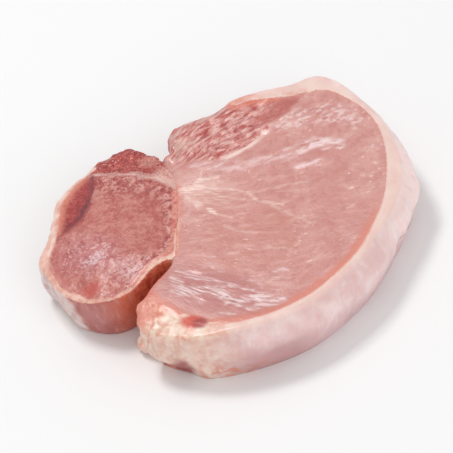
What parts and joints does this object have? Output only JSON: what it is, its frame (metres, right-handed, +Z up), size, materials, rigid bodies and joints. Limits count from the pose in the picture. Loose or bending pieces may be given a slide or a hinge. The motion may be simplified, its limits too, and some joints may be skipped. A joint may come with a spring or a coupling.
{
  "type": "raw pork loin chop",
  "caption": "Thick slice of raw pork loin with pale eye muscle, tenderloin side, outer back fat and a fatty tail, lying flat on a cut face.",
  "frame": {"origin": "middle of the chop's bounding box in plan, on the surface that it lies on", "axes": "+X from the tenderloin to the back fat, +Y from the fatty tail to the spine end, +Z up through the slice"},
  "size_m": [0.1494, 0.132, 0.0263],
  "materials": {
    "pale_lean": "moist pale pink cut meat with fine grain and thin pale flecks",
    "stranded_lean": "moist darker cut meat in coarse strands",
    "flank_lean": "moist orange red thin muscle",
    "back_fat": "smooth firm pinkish white fat with a soft gloss",
    "seam_fat": "soft cream fat",
    "sheath": "thin pale membrane over meat",
    "trim_lean": "rough dark red trimmed meat",
    "strap_lean": "dark red fine grained meat",
    "tender_lean": "moist rosy granular cut meat"
  },
  "bodies": {
    "root": {"loin_eye": "pale_lean", "strand_muscle": "stranded_lean", "flank_strip": "flank_lean", "back_fat": "back_fat", "seam_fat": "seam_fat", "sheath": "sheath", "notch_trim": "trim_lean", "strap_muscle": "strap_lean", "tenderloin": "tender_lean"}
  },
  "joints": []
}
